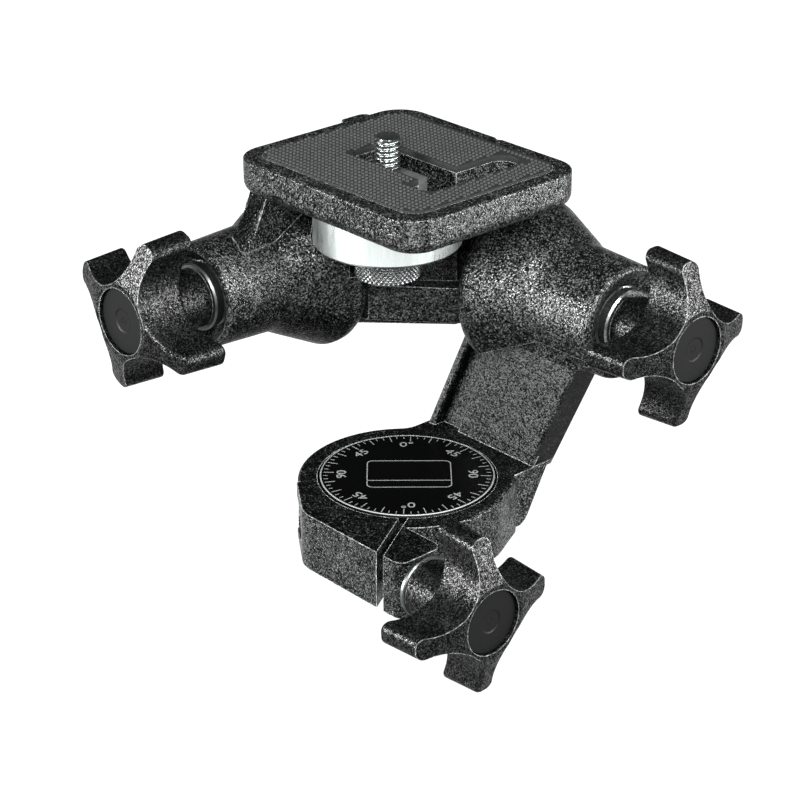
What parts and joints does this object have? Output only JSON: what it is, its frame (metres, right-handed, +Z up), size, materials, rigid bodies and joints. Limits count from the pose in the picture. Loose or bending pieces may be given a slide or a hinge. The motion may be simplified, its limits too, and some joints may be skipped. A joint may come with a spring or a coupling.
{
  "type": "three-way pan tilt head",
  "caption": "Camera support head: panning collar with graduated dial, tilt bells joined by an elbow, lobed lock knobs, and a slotted padded plate with a sliding camera screw.",
  "frame": {"origin": "centre of the tripod thread at the base's mounting face", "axes": "+Z up out of the base, +X along the front tilt axis towards its knob, -Y along the side tilt axis towards its knob"},
  "size_m": [0.1172, 0.113, 0.1176],
  "materials": {
    "black_paint": "speckled wrinkle paint on cast alloy",
    "knob_plastic": "textured glass-filled nylon",
    "cap_plastic": "fine matte",
    "pad_rubber": "woven diamond texture",
    "bright_ring": "polished",
    "dial_print": "black anodised with white graduations",
    "base_alloy": "turned",
    "plated_steel": "zinc plated",
    "spring_steel": "blued",
    "thumb_dark": "black anodised, diamond knurled",
    "slider_nylon": "natural nylon",
    "insert_brass": "turned"
  },
  "bodies": {
    "pan_base_body": {"pan_base": "base_alloy", "thread_bush": "plated_steel", "pan_dial": "dial_print", "base_thrust_washer": "slider_nylon", "pan_circlip": "spring_steel"},
    "housing_body": {"pan_housing": "black_paint", "clamp_bolt": "plated_steel", "clamp_washer": "plated_steel", "clamp_knob_screw": "plated_steel", "right_friction_cup": "slider_nylon", "right_end_washer": "plated_steel", "right_disc_springs": "spring_steel"},
    "clamp_knob_body": {"clamp_knob": "knob_plastic", "clamp_knob_insert": "insert_brass", "clamp_knob_cap": "cap_plastic"},
    "elbow_body": {"elbow_link": "black_paint", "right_tilt_shaft": "plated_steel", "left_tilt_shaft": "plated_steel", "right_elbow_pin": "plated_steel", "left_elbow_pin": "plated_steel", "right_knob_screw": "plated_steel", "left_knob_screw": "plated_steel"},
    "right_knob_body": {"right_knob": "knob_plastic", "right_knob_insert": "insert_brass", "right_knob_cap": "cap_plastic"},
    "left_knob_body": {"left_knob": "knob_plastic", "left_knob_insert": "insert_brass", "left_knob_cap": "cap_plastic"},
    "platform_body": {"camera_plate": "black_paint", "rubber_pad": "pad_rubber", "left_friction_cup": "slider_nylon", "left_end_washer": "plated_steel", "left_disc_springs": "spring_steel"},
    "carriage_body": {"slider_bush": "slider_nylon"},
    "lock_ring_body": {"lock_ring": "bright_ring"},
    "camera_screw_body": {"camera_screw": "plated_steel", "thumb_knob": "thumb_dark"}
  },
  "joints": [
    {"name": "pan", "type": "hinge", "parent": "pan_base_body", "child": "housing_body", "pos_m": [0, 0, 0.008], "axis": [0, 0, 1], "continuous": true},
    {"name": "clamp_turn", "type": "hinge", "parent": "housing_body", "child": "clamp_knob_body", "pos_m": [0.0409, -0.024, 0.0075], "axis": [1, 0, 0], "range_deg": [-20, 340]},
    {"name": "front_tilt", "type": "hinge", "parent": "housing_body", "child": "elbow_body", "pos_m": [0.0063, 0.0297, 0.0624], "axis": [-1, 0, 0], "range_deg": [-10, 90]},
    {"name": "front_tilt_lock", "type": "hinge", "parent": "elbow_body", "child": "right_knob_body", "pos_m": [0.0511, 0.0297, 0.0624], "axis": [1, 0, 0], "range_deg": [-20, 340]},
    {"name": "side_tilt_lock", "type": "hinge", "parent": "elbow_body", "child": "left_knob_body", "pos_m": [-0.03065, -0.0478, 0.0656], "axis": [0, -1, 0], "range_deg": [-20, 340]},
    {"name": "side_tilt", "type": "hinge", "parent": "elbow_body", "child": "platform_body", "pos_m": [-0.03065, -0.0021, 0.0656], "axis": [0, -1, 0], "range_deg": [0, 90]},
    {"name": "screw_slide", "type": "slide", "parent": "platform_body", "child": "carriage_body", "axis": [1, 0, 0], "range_m": [0, 0.013]},
    {"name": "ring_turn", "type": "hinge", "parent": "carriage_body", "child": "lock_ring_body", "pos_m": [-0.0042, -0.0026, 0.083], "axis": [0, 0, 1], "continuous": true},
    {"name": "screw_turn", "type": "hinge", "parent": "carriage_body", "child": "camera_screw_body", "pos_m": [-0.0042, -0.0026, 0.09], "axis": [0, 0, 1], "continuous": true}
  ]
}
